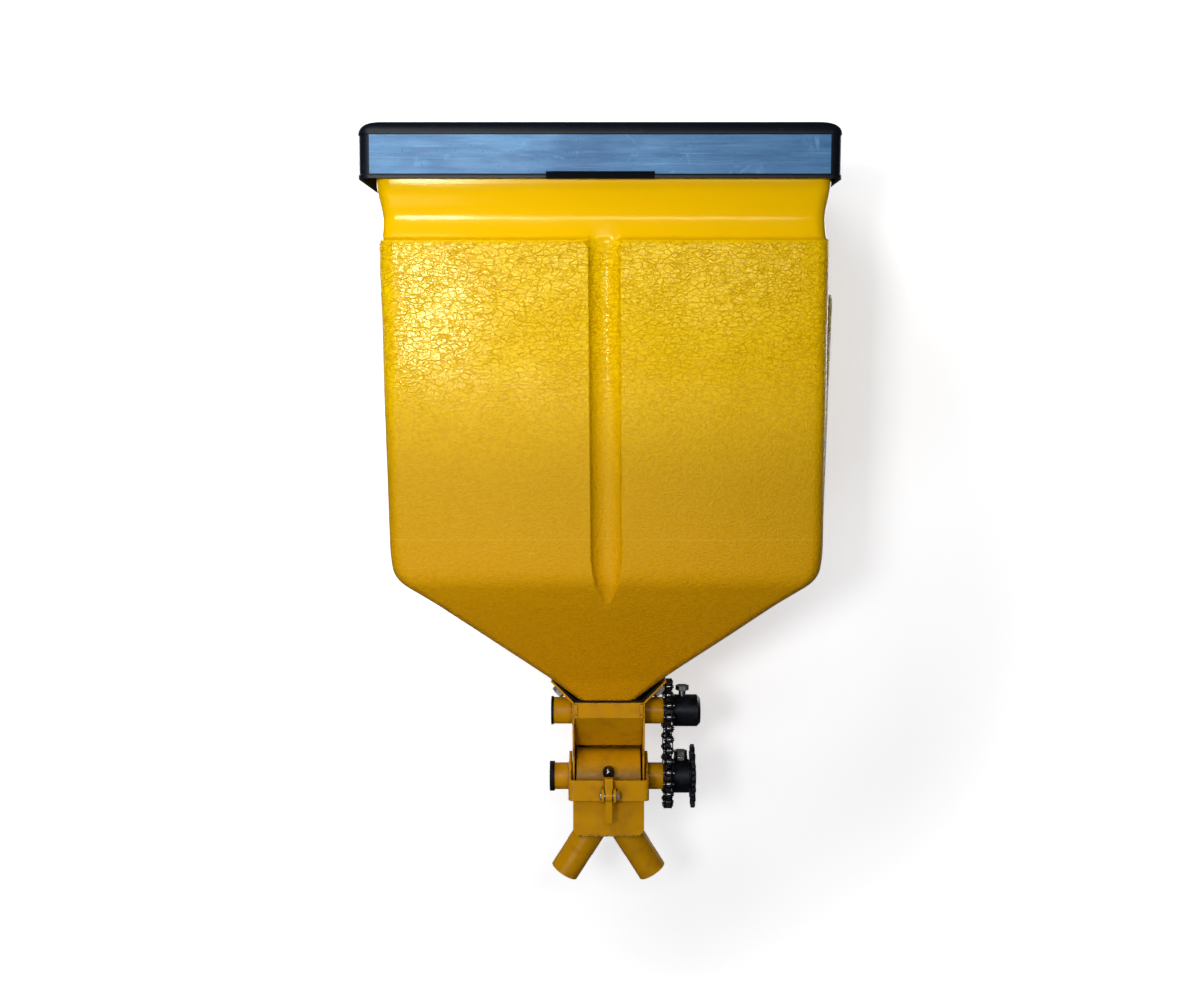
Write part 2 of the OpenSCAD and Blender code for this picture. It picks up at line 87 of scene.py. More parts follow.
# ---------------------------------------------------------------- material helpers
class Look:
    """One material: a Principled shader and short ways to add nodes to it."""

    def __init__(self, name):
        self.m = bpy.data.materials.new(name)
        self.m.use_nodes = True
        self.t = self.m.node_tree
        self.t.nodes.clear()
        self.out = self.t.nodes.new("ShaderNodeOutputMaterial")
        self.p = self.t.nodes.new("ShaderNodeBsdfPrincipled")
        self.t.links.new(self.p.outputs[0], self.out.inputs["Surface"])
        self.where = self.t.nodes.new("ShaderNodeTexCoord").outputs["Object"]

    def put(self, socket, value):
        if hasattr(value, "is_output"):
            self.t.links.new(value, socket)
        elif isinstance(value, (tuple, list)) and len(value) == 3 and socket.type == "RGBA":
            socket.default_value = (*value, 1)
        else:
            socket.default_value = value

    def set(self, **values):
        for k, v in values.items():
            self.put(self.p.inputs[k.replace("_", " ")], v)

    def noise(self, scale, detail=3, rough=0.5, stretch=None, distortion=0.0):
        n = self.t.nodes.new("ShaderNodeTexNoise")
        self.put(n.inputs["Vector"], self.stretched(stretch))
        self.put(n.inputs["Scale"], scale)
        self.put(n.inputs["Detail"], detail)
        self.put(n.inputs["Roughness"], rough)
        self.put(n.inputs["Distortion"], distortion)
        return n.outputs["Fac"]

    def cells(self, scale, vector):
        """How far each point is from the edge of its cell."""
        n = self.t.nodes.new("ShaderNodeTexVoronoi")
        n.feature = "DISTANCE_TO_EDGE"
        self.put(n.inputs["Vector"], vector)
        self.put(n.inputs["Scale"], scale)
        return n.outputs["Distance"]

    def stretched(self, stretch):
        if stretch is None:
            return self.where
        n = self.t.nodes.new("ShaderNodeMapping")
        self.put(n.inputs["Vector"], self.where)
        self.put(n.inputs["Scale"], stretch)
        return n.outputs["Vector"]

    def warped(self, amount, scale, stretch=None):
        """The object coordinates pushed about by noise, so that cells aren't straight-edged."""
        n = self.t.nodes.new("ShaderNodeTexNoise")
        base = self.stretched(stretch)
        self.put(n.inputs["Vector"], base)
        self.put(n.inputs["Scale"], scale)
        off = self.t.nodes.new("ShaderNodeVectorMath")
        off.operation = "MULTIPLY_ADD"
        self.put(off.inputs[0], n.outputs["Color"])
        self.put(off.inputs[1], (amount, amount, amount))
        self.put(off.inputs[2], base)
        return off.outputs[0]

    def axis(self, letter):
        n = self.t.nodes.new("ShaderNodeSeparateXYZ")
        self.put(n.inputs[0], self.where)
        return n.outputs[letter]

    def math(self, op, a, b=0.0, clamp=False):
        n = self.t.nodes.new("ShaderNodeMath")
        n.operation = op
        n.use_clamp = clamp
        self.put(n.inputs[0], a)
        self.put(n.inputs[1], b)
        return n.outputs[0]

    def span(self, value, lo, hi, to_lo=0.0, to_hi=1.0):
        """Eases from to_lo to to_hi as value goes from lo to hi."""
        n = self.t.nodes.new("ShaderNodeMapRange")
        n.interpolation_type = "SMOOTHSTEP"
        self.put(n.inputs["Value"], value)
        self.put(n.inputs["From Min"], lo)
        self.put(n.inputs["From Max"], hi)
        self.put(n.inputs["To Min"], to_lo)
        self.put(n.inputs["To Max"], to_hi)
        return n.outputs["Result"]

    def both(self, a, b):
        return self.math("MULTIPLY", a, b)

    def mix(self, fac, a, b):
        """Colour a where fac is 0 and colour b where it is 1."""
        n = self.t.nodes.new("ShaderNodeMix")
        n.data_type = "RGBA"
        self.put(n.inputs[0], fac)
        self.put(n.inputs[6], a)
        self.put(n.inputs[7], b)
        return n.outputs[2]

    def bump(self, height, strength, distance, normal=None):
        n = self.t.nodes.new("ShaderNodeBump")
        self.put(n.inputs["Height"], height)
        self.put(n.inputs["Strength"], strength)
        self.put(n.inputs["Distance"], distance)
        if normal is not None:
            self.put(n.inputs["Normal"], normal)
        return n.outputs[0]

    def edges(self, radius):
        """1 on sharp outside edges and 0 elsewhere."""
        b = self.t.nodes.new("ShaderNodeBevel")
        b.samples = 4
        self.put(b.inputs["Radius"], radius)
        g = self.t.nodes.new("ShaderNodeNewGeometry")
        d = self.t.nodes.new("ShaderNodeVectorMath")
        d.operation = "DOT_PRODUCT"
        self.put(d.inputs[0], b.outputs[0])
        self.put(d.inputs[1], g.outputs["Normal"])
        return self.span(d.outputs["Value"], 0.995, 0.85)


def hopper_look():
    """Moulded yellow plastic: crazed leather grain, glossy near the top, fine and duller below; its colour is
    painted lighter toward the top and darker lower down, as light from above falls, with painted shade in the
    creases.
    """
    k = Look("moulded_yellow")
    z = k.axis("Z")
    high = k.span(z, 0.30, 0.47)
    low = k.span(z, 0.06, 0.33)
    panel = k.span(z, PANEL_TOP + PANEL_BLEND, PANEL_TOP - PANEL_BLEND)
    collar = k.span(panel, 0.0, 1.0, 1.0, 0.0)
    leather = k.both(high, panel)

    # raised skin between creases, at three sizes; the creases are broken up by noise
    here = k.span(k.noise(26, 3), 0.30, 0.62, 0.25, 1.0)
    broken = k.span(k.noise(75, 3, 0.6, (1, 1, 1.8)), 0.40, 0.60)
    skin_1 = k.span(k.cells(118, k.warped(0.0125, 92, (1, 1, 1.8))), 0.0, 0.10)
    skin_1 = k.math("MAXIMUM", skin_1, k.both(broken, 0.45))
    skin_2 = k.span(k.cells(230, k.warped(0.0060, 180, (1, 1, 1.6))), 0.0, 0.11)
    skin_3 = k.span(k.cells(330, k.warped(0.0025, 260, (1, 1, 1.2))), 0.0, 0.25)
    coarse = k.both(k.math("ADD", skin_1, k.both(k.both(skin_2, here), 0.6)), leather)
    fine = k.both(skin_3, k.span(high, 0.0, 1.0, 0.42, 0.04))
    swell = k.noise(46, 2, 0.5, (1, 1, 1.4))
    grit = k.noise(300, 3, 0.62, (1, 1, 1.6))
    grit_depth = k.span(k.math("MAXIMUM", leather, collar), 0.0, 1.0, 0.95, 0.03)
    n = k.bump(swell, 0.22, 0.0010)
    n = k.bump(k.math("ADD", coarse, fine), 0.9, 0.00045, n)
    n = k.bump(grit, grit_depth, 0.0010, n)

    # Painted light: the tone by height is lighter yellow toward the top and darker, more amber lower down, as
    # light from above falls on the hopper.
    tone = k.mix(low, (0.84, 0.355, 0.0), (0.575, 0.320, 0.0))
    tone = k.mix(high, tone, (0.86, 0.57, 0.0))
    # Painted shade: the creases in the grain are coloured darker, where shade falls in them.
    groove = k.both(k.span(skin_1, 0.0, 0.8, 1.0, 0.0), leather)
    crease = k.both(k.both(k.span(skin_2, 0.0, 0.8, 1.0, 0.0), here), leather)
    tone = k.mix(k.math("MAXIMUM", k.both(groove, 0.85), k.both(crease, 0.45)), tone, (0.62, 0.29, 0.0))
    tone = k.mix(k.span(k.noise(10, 4, 0.6), 0.40, 0.75, 0.0, 0.18), tone, (0.70, 0.32, 0.0))
    speckle = k.both(k.span(grit, 0.40, 0.62, 0.0, 0.42), k.span(panel, 0.0, 1.0, 0.3, 1.0))
    tone = k.mix(speckle, tone, (0.52, 0.24, 0.0))
    off_seam = k.math("ABSOLUTE", k.math("SUBTRACT", z, MOULD_SEAM))
    tone = k.mix(k.span(off_seam, 0.0008, 0.0002, 0.0, 0.14), tone, (0.92, 0.60, 0.08))
    # Painted light: the collar gets one flat tone of its own, a little darker and more orange than the panel
    # tops.
    tone = k.mix(panel, (0.80, 0.455, 0.0), tone)
    k.set(Base_Color=tone, Roughness=k.span(high, 0.0, 1.0, 0.36, 0.15), Normal=n)
    k.set(Specular_IOR_Level=0.19, Specular_Tint=(1.0, 0.97, 0.62))
    return k.m


def lid_look():
    """Black plastic, scuffed along its length, with a painted blue sheen standing in for reflected sky,
    brighter on the left and dimmer to the right.
    """
    k = Look("scuffed_black_painted_sheen")
    cloud = k.noise(5.5, 3, 0.55, (1, 1, 2.0))
    streaks = k.noise(22, 6, 0.72, (0.7, 0.7, 5))
    fine_lines = k.noise(200, 3, 0.7, (0.05, 0.05, 3.5))
    blots = k.noise(30, 5, 0.7, (1.4, 1.4, 1.4), 0.6)
    nicks = k.noise(420, 2, 0.6, (1.6, 1.6, 0.5))
    # Painted reflection: broad blue clouds of sheen, dimmer to the right of the middle, mixed with the scuff
    # streaks.
    scuffs_and_painted_sheen = k.both(k.span(cloud, 0.36, 0.60, 0.25, 1.0), k.span(streaks, 0.30, 0.66, 0.45, 1.0))
    scuffs_and_painted_sheen = k.both(scuffs_and_painted_sheen, k.span(k.axis("X"), 0.0, 0.09, 1.0, 0.55))
    tone = k.mix(scuffs_and_painted_sheen, (0.006, 0.065, 0.190), (0.105, 0.275, 0.500))
    tone = k.mix(k.span(blots, 0.55, 0.78, 0.0, 0.75), tone, (0.170, 0.360, 0.590))
    tone = k.mix(k.span(fine_lines, 0.58, 0.74, 0.0, 0.4), tone, (0.24, 0.46, 0.68))
    tone = k.mix(k.span(nicks, 0.66, 0.74, 0.0, 0.7), tone, (0.010, 0.035, 0.080))
    n = k.bump(k.noise(700, 2), 0.12, 0.0003)
    n = k.bump(fine_lines, 0.10, 0.0002, n)
    k.set(Base_Color=tone, Roughness=k.span(blots, 0.3, 0.7, 0.34, 0.52))
    k.set(Normal=n, Specular_IOR_Level=0.3)
    return k.m


def lid_edge_look():
    """The lid's border and rounded top edge, which stay black."""
    k = Look("black_border")
    tone = k.mix(k.span(k.noise(120, 5, 0.7), 0.55, 0.8), (0.003, 0.005, 0.009), (0.012, 0.018, 0.030))
    k.set(Base_Color=tone, Roughness=0.40, Normal=k.bump(k.noise(600, 3), 0.15, 0.0003))
    k.set(Specular_IOR_Level=0.22)
    return k.m


def notch_shade_look():
    """Near-black, as painted shade inside the finger notch, where almost no light comes back."""
    k = Look("notch_painted_shade")
    k.set(Base_Color=(0.002, 0.003, 0.005), Roughness=0.7, Specular_IOR_Level=0.03)
    return k.m


def paint_look():
    """Yellow paint over sheet steel: orange peel, grime in patches, painted shade in corners and crevices,
    chips along the edges.
    """
    k = Look("yellow_paint")
    peel = k.noise(420, 2, 0.5)
    grime = k.noise(55, 5, 0.65, None, 0.3)
    chip = k.math("MULTIPLY", k.edges(0.0016), k.span(k.noise(240, 4, 0.7), 0.56, 0.62), True)
    fleck = k.span(k.noise(700, 2, 0.6), 0.735, 0.76)
    bare = k.math("MAXIMUM", chip, k.both(fleck, 0.8), True)
    tone = k.mix(k.span(grime, 0.42, 0.78, 0.0, 0.55), (0.62, 0.285, 0.001), (0.30, 0.130, 0.002))
    tone = k.mix(k.span(k.noise(25, 3), 0.5, 0.7, 0, 0.35), tone, (0.72, 0.36, 0.002))
    tone = k.mix(k.both(front_dark_band(k), 0.62), tone, (0.12, 0.065, 0.002))
    # Painted shade: ambient occlusion darkens the paint in corners and crevices, where shade falls.
    nook_shade = k.t.nodes.new("ShaderNodeAmbientOcclusion")
    nook_shade.samples = 3
    k.put(nook_shade.inputs["Distance"], 0.007)
    tone = k.mix(k.span(nook_shade.outputs["AO"], 0.75, 0.25, 0.0, 0.85), tone, (0.09, 0.040, 0.002))
    tone = k.mix(bare, tone, (0.045, 0.035, 0.025))
    n = k.bump(peel, 0.18, 0.0004)
    n = k.bump(k.math("SUBTRACT", 1.0, bare), 0.5, 0.0003, n)
    k.set(Base_Color=tone, Roughness=k.span(grime, 0.3, 0.8, 0.22, 0.5))
    k.set(Normal=n, Specular_IOR_Level=0.16)
    return k.m


def front_dark_band(k):
    """1 on the front of the box between the side plates, level with the lower shaft, where the paint is
    coloured darker.
    """
    level = k.both(k.span(k.axis("Z"), -0.018, -0.032), k.span(k.axis("Z"), -0.060, -0.055))
    between = k.span(k.math("ABSOLUTE", k.axis("X")), 0.0358, 0.0352)
    front = k.span(k.axis("Y"), SY - 0.048, SY - 0.040)
    return k.both(k.both(level, between), front)


def weld_look():
    """Painted over, with soot left in the ripples."""
    k = Look("painted_weld")
    tone = k.mix(k.span(k.noise(300, 4), 0.4, 0.7), (0.50, 0.23, 0.003), (0.16, 0.07, 0.004))
    k.set(Base_Color=tone, Roughness=0.42, Normal=k.bump(k.noise(900, 3), 0.35, 0.0004))
    return k.m


def metal_look(name, bright, dull, rough, scale, grain=(1, 1, 1)):
    """Plain metal: two tones mixed by blotches, with brushed or turned grain."""
    k = Look(name)
    patch = k.noise(scale, 5, 0.65)
    lines = k.noise(900, 2, 0.5, grain)
    k.set(Base_Color=k.mix(k.span(patch, 0.35, 0.7), bright, dull), Metallic=1.0)
    k.set(Roughness=k.span(patch, 0.3, 0.75, *rough), Normal=k.bump(lines, 0.12, 0.0002))
    return k.m


def black_steel_look():
    """Blackened steel, worn brighter along its edges."""
    k = Look("blackened_steel")
    patch = k.noise(120, 5, 0.7)
    worn = k.both(k.edges(0.0012), k.span(k.noise(300, 3), 0.4, 0.6))
    tone = k.mix(k.span(patch, 0.4, 0.75), (0.004, 0.005, 0.009), (0.014, 0.015, 0.022))
    tone = k.mix(worn, tone, (0.06, 0.06, 0.07))
    k.set(Base_Color=tone, Metallic=0.3, Roughness=k.span(patch, 0.3, 0.7, 0.32, 0.55))
    k.set(Normal=k.bump(k.noise(800, 3), 0.2, 0.0003), Specular_IOR_Level=0.22)
    return k.m


def plain_look(name, tone, rough, scale=500, strength=0.15, spec=0.5):
    """Plain plastic or rubber with paler patches and a fine grain."""
    k = Look(name)
    pale = tuple(min(1, c * 2 + 0.004) for c in tone)
    shade = k.mix(k.span(k.noise(90, 4, 0.6), 0.4, 0.75, 0, 0.5), tone, pale)
    k.set(Base_Color=shade, Roughness=rough, Specular_IOR_Level=spec)
    k.set(Normal=k.bump(k.noise(scale, 3), strength, 0.0003))
    return k.m


LOOKS = {
    "hopper": hopper_look(),
    "lid": lid_look(),
    "paint": paint_look(),
    "black_steel": black_steel_look(),
    "chain_plate": metal_look("chain_side_plates", (0.020, 0.021, 0.024), (0.007, 0.007, 0.008),
                              (0.30, 0.55), 260),
    "chain_roller": metal_look("chain_rollers", (0.26, 0.27, 0.29), (0.035, 0.035, 0.036),
                               (0.16, 0.36), 300),
    "zinc": metal_look("zinc_plate", (0.60, 0.61, 0.62), (0.25, 0.25, 0.22), (0.20, 0.42), 240),
    "shaft_steel": metal_look("drawn_steel", (0.55, 0.55, 0.56), (0.32, 0.31, 0.30), (0.18, 0.35), 90,
                              (1, 40, 40)),
    "bush": plain_look("bearing_plastic", (0.03, 0.03, 0.028), 0.5),
    "rotor": plain_look("rotor_plastic", (0.015, 0.015, 0.016), 0.45),
    "rubber": plain_look("black_rubber", (0.003, 0.003, 0.004), 0.62, 700, 0.25, 0.15),
    "knob": metal_look("steel_ball", (0.20, 0.20, 0.21), (0.07, 0.07, 0.075), (0.10, 0.25), 120),
}
EDGE = lid_edge_look()
WELD = weld_look()
SIDES = ((-1, "left"), (1, "right"))

# ---------------------------------------------------------------- CAD nodes: finish and eased edges
SLOT_OF = {s["node"]: s["material_slot"] for s in frame["record"]["subparts"]}
EASE_MOST = 0.45
EASE = {"chain_inner_plates": 0.12, "chain_outer_plates": 0.12, "chain_rollers": 0.35, "chain_pins": 0.25,
        "input_sprocket": 0.5, "agitator_sprocket": 0.4, "metering_sprocket": 0.4, "agitator_hub": 1.1,
        "metering_hub": 1.1, "hopper_gasket": 0.4, "upper_left_cap": 0.7, "lower_left_cap": 1.0,
        "clamp_lever": 0.9, "rear_bracket": 0.8, "hopper_bolts": 0.5, "outlet_box": 0.5}


def ease(obj, width):
    """Welds split vertices, rounds sharp edges by width, and evens the shading."""
    weld = obj.modifiers.new("weld", "WELD")
    weld.merge_threshold = 1e-5
    bevel = obj.modifiers.new("ease", "BEVEL")
    bevel.width = width
    bevel.segments = 2
    bevel.limit_method = "ANGLE"
    bevel.angle_limit = math.radians(32)
    bevel.use_clamp_overlap = True
    even = obj.modifiers.new("even", "WEIGHTED_NORMAL")
    even.keep_sharp = False


for node_name, obj in NODES.items():
    obj.data.materials.clear()
    obj.data.materials.append(LOOKS[SLOT_OF[node_name]])
    if node_name not in ("hopper", "lid", "shutter_knob"):
        ease(obj, EASE.get(node_name, EASE_MOST) * MM)


# ---------------------------------------------------------------- mesh helpers
def added(mesh, look):
    """The mesh as a new object in the scene."""
    mesh.materials.append(look)
    obj = bpy.data.objects.new(mesh.name, mesh)
    bpy.context.scene.collection.objects.link(obj)
    return obj


def new_piece(name, verts, faces, look, body):
    mesh = bpy.data.meshes.new(name)
    mesh.from_pydata([tuple(v) for v in verts], [], faces)
    mesh.validate()
    for p in mesh.polygons:
        p.use_smooth = True
    obj = added(mesh, look)
    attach(obj, body)
    return obj


def box_piece(name, lo, hi, look, body, ease_by):
    bm = bmesh.new()
    bmesh.ops.create_cube(bm, size=1)
    for v in bm.verts:
        v.co = Vector([lo[i] + (v.co[i] + 0.5) * (hi[i] - lo[i]) for i in range(3)])
    bmesh.ops.bevel(bm, geom=bm.edges[:], offset=ease_by, segments=2, affect="EDGES", profile=0.5)
    mesh = bpy.data.meshes.new(name)
    bm.to_mesh(mesh)
    bm.free()
    obj = added(mesh, look)
    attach(obj, body)
    return obj


def gap(p, q):
    """How far apart two rings of a path are in half-width, half-depth and height."""
    return math.dist(p[:2] + p[3:4], q[:2] + q[3:4])


def eased_path(points, radii, steps=6):
    """The path of rings with each corner rounded by its radius."""
    most = 0.48
    out = [points[0]]
    for i in range(1, len(points) - 1):
        a, b, c = points[i - 1], points[i], points[i + 1]
        ra = min(radii[i] / gap(a, b), most)
        rc = min(radii[i] / gap(b, c), most)
        s = [bi + (ai - bi) * ra for ai, bi in zip(a, b)]
        e = [bi + (ci - bi) * rc for bi, ci in zip(b, c)]
        for k in range(steps + 1):
            t = k / steps
            out.append([(1 - t) ** 2 * x + 2 * t * (1 - t) * y + t * t * w for x, y, w in zip(s, b, e)])
    out.append(points[-1])
    return out


def filled(path, step):
    """The path with extra points, so that none are more than step apart."""
    out = [path[0]]
    for a, b in zip(path, path[1:]):
        n = max(1, math.ceil(gap(a, b) / step))
        out += [[x + (y - x) * k / n for x, y in zip(a, b)] for k in range(1, n + 1)]
    return out


def trough(t):
    """Cross-section of the upright channel: 1 in its middle and 0 at its edge."""
    t = min(1.0, abs(t))
    return (1 - t * t) ** 0.60


def channel_half(z, w, panel_top, round_by=0.006):
    """The channel's half-width, widened just under panel_top to round the upper corners of the panels."""
    if panel_top and panel_top - round_by < z <= panel_top:
        w += round_by - math.sqrt(max(0.0, round_by ** 2 - (z - panel_top + round_by) ** 2))
    return max(w, 1e-4)


def loop(a, b, r, z, w, d, shift=None, panel_top=0.0, flat=13, side=20, corner=9, fine=34):
    """Points round a rounded rectangle whose front and back carry a channel of half-width w and depth d.

    Points are close together across the channel, and flat, side and corner count them elsewhere."""
    r = min(r, a - 1e-4, b - 1e-4)
    w = channel_half(z, w, panel_top)
    edge = 0.034
    if d == 0.0 or a - r < edge + 0.01:
        edge = min(edge, (a - r) * 0.8)
    inner = [edge * (i / fine) for i in range(-fine, fine + 1)]
    outer = [edge + (a - r - edge) * (i / flat) for i in range(1, flat + 1)]
    front = [-x for x in reversed(outer)] + inner + outer

    def arc(cx, cy, a0):
        turns = [a0 + math.pi / 2 * i / corner for i in range(1, corner + 1)]
        return [(cx + r * math.cos(g), cy + r * math.sin(g)) for g in turns]

    pts = [(x, -b + d * trough(x / w) if abs(x) <= w else -b) for x in front]
    pts += arc(a - r, -b + r, -math.pi / 2)
    pts += [(a, (-b + r) + (2 * (b - r)) * i / side) for i in range(1, side + 1)]
    pts += arc(a - r, b - r, 0)
    pts += [(-x, b - d * trough(x / w) if abs(x) <= w else b) for x in front[1:]]
    pts += arc(-a + r, b - r, math.pi / 2)
    pts += [(-a, (b - r) - (2 * (b - r)) * i / side) for i in range(1, side + 1)]
    pts += arc(-a + r, -b + r, math.pi)[:-1]
    dx = lean(z) if shift is None else shift
    return [(x + dx, SY + y, z) for x, y in pts]


def skin(loops, closed):
    """Vertices and quads that join the loops in order."""
    n, m = len(loops[0]), len(loops)
    verts = [p for l in loops for p in l]
    faces = []
    for j in range(m if closed else m - 1):
        here, above = j * n, ((j + 1) % m) * n
        faces += [(here + i, here + (i + 1) % n, above + (i + 1) % n, above + i) for i in range(n)]
    return verts, faces


# ---------------------------------------------------------------- hopper
def hopper_path(t):
    """Rings from the mouth up to the rim, drawn t mm inside the outer skin.

    In mm: half-width, half-depth, corner radius, height, channel half-width and depth, rounding."""
    a, b = RIM_A / MM, RIM_B / MM
    mm = [
        (31.7, 44, 10, 60, 4, 0, 0),
        (61, 60, 13, 85.6, 4, 0, 10),
        (a - 47, b - 28.5, 15, 183, 2.0, 0, 10),
        (a - 8.6, b - 7.6, 16, 211, 13.0, 8, 17),
        (a - 4.9, b - 6.0, 14, 236, 16, 11, 14),
        (a - 1.5, b - 2.3, 14, 528, 16, 11, 14),
        (a - 1.3, b - 2.0, 14, 551.5, 16, 8, 1.6),
        (a - 3.2, b - 7.4, 14, 554.5, 16, 1.2, 3),
        (a - 4.4, b - 8.6, 14, 565, 16, 0, 5),
        (a - 5.0, b - 9.0, 14, 578, 16, 0, 12),
        (a - 0.4, b - 0.5, 14, 604, 16, 0, 12),
        (a, b, 14, hopper_hi.z / MM, 16, 0, 0),
    ]
    rings = [[(q[0] - t) * MM, (q[1] - t) * MM, (q[2] - t) * MM, q[3] * MM, q[4] * MM, q[5] * MM] for q in mm]
    return filled(eased_path(rings, [q[6] * MM for q in mm]), 0.0035)


def wobble(verts, amount, scale, seed):
    """Pushes points in and out a little, as thin moulded walls do."""
    out = []
    for v in verts:
        p = Vector(v) * scale + Vector((seed, seed * 2, seed * 3))
        away = Vector((v[0], v[1] - SY, 0))
        away = away.normalized() if away.length > 1e-6 else Vector((0, 0, 0))
        out.append(Vector(v) + away * noise.noise(p) * amount)
    return out


def build_hopper():
    wall = 4
    outside = [loop(*q, panel_top=PANEL_TOP) for q in hopper_path(0)]
    inside = [loop(*q, panel_top=PANEL_TOP) for q in hopper_path(wall)]
    verts, faces = skin(outside + inside[::-1], True)
    obj = new_piece("hopper_shell", wobble(verts, 0.0007, 14, 3), faces, LOOKS["hopper"], "frame")
    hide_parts("hopper")


def build_side_panel():
    """Raised panel on the right-hand wall, proud at its top and nearly flush at its foot."""
    lo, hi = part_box("hopper_rib")
    rows, cols, edge_r = 24, 20, 0.012
    foot_z, foot_in, lean_out, sunk = 0.236, 0.0049, 0.0036 / 0.315, 0.0008
    verts = []
    for j in range(rows + 1):
        for i in range(cols + 1):
            u = 0.5 - 0.5 * math.cos(math.pi * i / cols)
            v = 0.5 - 0.5 * math.cos(math.pi * j / rows)
            y, z = lo.y + (hi.y - lo.y) * u, lo.z + (hi.z - lo.z) * v
            near = min(y - lo.y, hi.y - y, z - lo.z, hi.z - z)
            rise = 1 - (1 - min(1, near / edge_r)) ** 3
            wall = RIM_A - foot_in + lean_out * (z - foot_z) - sunk + lean(z)
            proud = (0.0030 + 0.0060 * v) * rise
            verts.append((wall + proud, y, z))
    faces = []
    for j in range(rows):
        for i in range(cols):
            k = j * (cols + 1) + i
            faces.append((k, k + 1, k + cols + 2, k + cols + 1))
    obj = new_piece("hopper_side_panel", verts, faces, LOOKS["hopper"], "frame")
    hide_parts("hopper_rib")


# ---------------------------------------------------------------- lid
def lid_path():
    """Rings from the middle of the lid's ceiling, down its inside, up its outside and in over its top.

    In mm: half-width, half-depth, corner radius, height, rounding."""
    a, b, top, low, wall = LID_A / MM, LID_B / MM, lid_hi.z / MM, lid_lo.z / MM, 3.0
    sunk, over_x, over_y, over_z, steps = 0.9, 15, 11, 12, 9
    mm = [
        (a - wall - 60, b - wall - 60, 6, top - wall, 0),
        (a - wall, b - wall, 9, top - wall, 8),
        (a - wall, b - wall, 9, low, 0.6),
        (a, b, 12, low, 0.8),
        (a, b, 12, low + 3.6, 1.0),
        (a - sunk, b - sunk, 11.5, low + 4.6, 1.0),
        (a - sunk, b - sunk, 11.5, top - 13.4, 0.8),
        (a, b, 12, top - 12.6, 0.8),
    ]
    for i in range(1, steps + 1):
        g = math.pi / 2 * i / steps
        mm.append((a - over_x + over_x * math.cos(g), b - over_y + over_y * math.cos(g),
                   12 - 2 * i / steps, top - over_z + over_z * math.sin(g), 0.2))
    mm += [(a - 19, b - 15, 9, top, 2), (a - 21, b - 17, 8, top - 1.4, 2), (a - 60, b - 60, 6, top - 1.0, 0)]
    rings = [[q[0] * MM, q[1] * MM, q[2] * MM, q[3] * MM, 0.06, 0.0] for q in mm]
    return filled(eased_path(rings, [q[4] * MM for q in mm]), 0.006)


def build_lid():
    """Loose black lid: rounded top edge, a sunk front face inside a border, and a notch in the hem."""
    hem, brow, corner = 0.0046, 0.0132, 0.0125
    loops = [loop(*q, shift=LID_X) for q in lid_path()]
    verts, faces = skin(loops, False)
    n, m = len(loops[0]), len(loops)
    faces.append(tuple(reversed(range(n))))
    faces.append(tuple(range((m - 1) * n, m * n)))
    obj = new_piece("lid_shell", wobble(verts, 0.0005, 9, 11), faces, LOOKS["lid"], "lid_body")
    obj.data.materials.append(EDGE)
    for p in obj.data.polygons:
        upright = abs(p.normal.y) > 0.9 or abs(p.normal.x) > 0.9
        in_border = p.center.z < lid_lo.z + hem or p.center.z > lid_hi.z - brow
        near_corner = abs(p.center.x - LID_X) > LID_A - corner
        if (not upright or in_border or near_corner) and p.normal.z < 0.9:
            p.material_index = 1
    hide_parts("lid")
    build_notch()


def build_notch():
    """The finger notch in the lid's hem, drawn as a dark strip of painted shade under a thin pale lip."""
    half, into, eased = 0.0528, 0.0016, 0.0002
    front = SY - LID_B
    for name, low_z, high_z, out, look in (("lid_notch", -0.0004, 0.0066, 0.0006, notch_shade_look()),
                                           ("lid_notch_lip", 0.0066, 0.0074, 0.0011, LOOKS["lid"])):
        lo = (LID_X - half, front - out, lid_lo.z + low_z)
        hi = (LID_X + half, front + into, lid_lo.z + high_z)
        box_piece(name, lo, hi, look, "lid_body", eased)


# ---------------------------------------------------------------- welds and small trim
def bead(name, points, radius, closed=False):
    """A weld bead on the frame: a rippled tube along points."""
    n, sides, ripple, uneven = len(points), 8, 0.15, 0.12
    verts, faces = [], []
    for i, p in enumerate(points):
        before = points[(i - 1) % n] if closed or i else points[0]
        after = points[(i + 1) % n] if closed or i < n - 1 else points[-1]
        t = (Vector(after) - Vector(before)).normalized()
        u = t.orthogonal().normalized() if abs(t.x) < 0.9 else Vector((0, 1, 0))
        u = (u - t * u.dot(t)).normalized()
        w = t.cross(u)
        r = radius * (1 + ripple * math.sin(i * 2.1) + random.uniform(-uneven, uneven))
        for k in range(sides):
            g = 2 * math.pi * k / sides
            verts.append(Vector(p) + (u * math.cos(g) + w * math.sin(g)) * r)
    for i in range(n if closed else n - 1):
        here, ahead = i * sides, (i + 1) % n * sides
        for k in range(sides):
            turn = (k + 1) % sides
            faces.append((here + k, here + turn, ahead + turn, ahead + k))
    if not closed:
        faces += [tuple(reversed(range(sides))), tuple(range((n - 1) * sides, n * sides))]
    obj = new_piece(name, verts, faces, WELD, "frame")


def ring_points(x, y, z, r, n=72):
    turns = [2 * math.pi * i / n for i in range(n)]
    return [(x, y + r * math.cos(g), z + r * math.sin(g)) for g in turns]


def line_points(a, b, step=0.0016):
    n = max(2, int((Vector(b) - Vector(a)).length / step))
    return [Vector(a).lerp(Vector(b), i / n) for i in range(n + 1)]


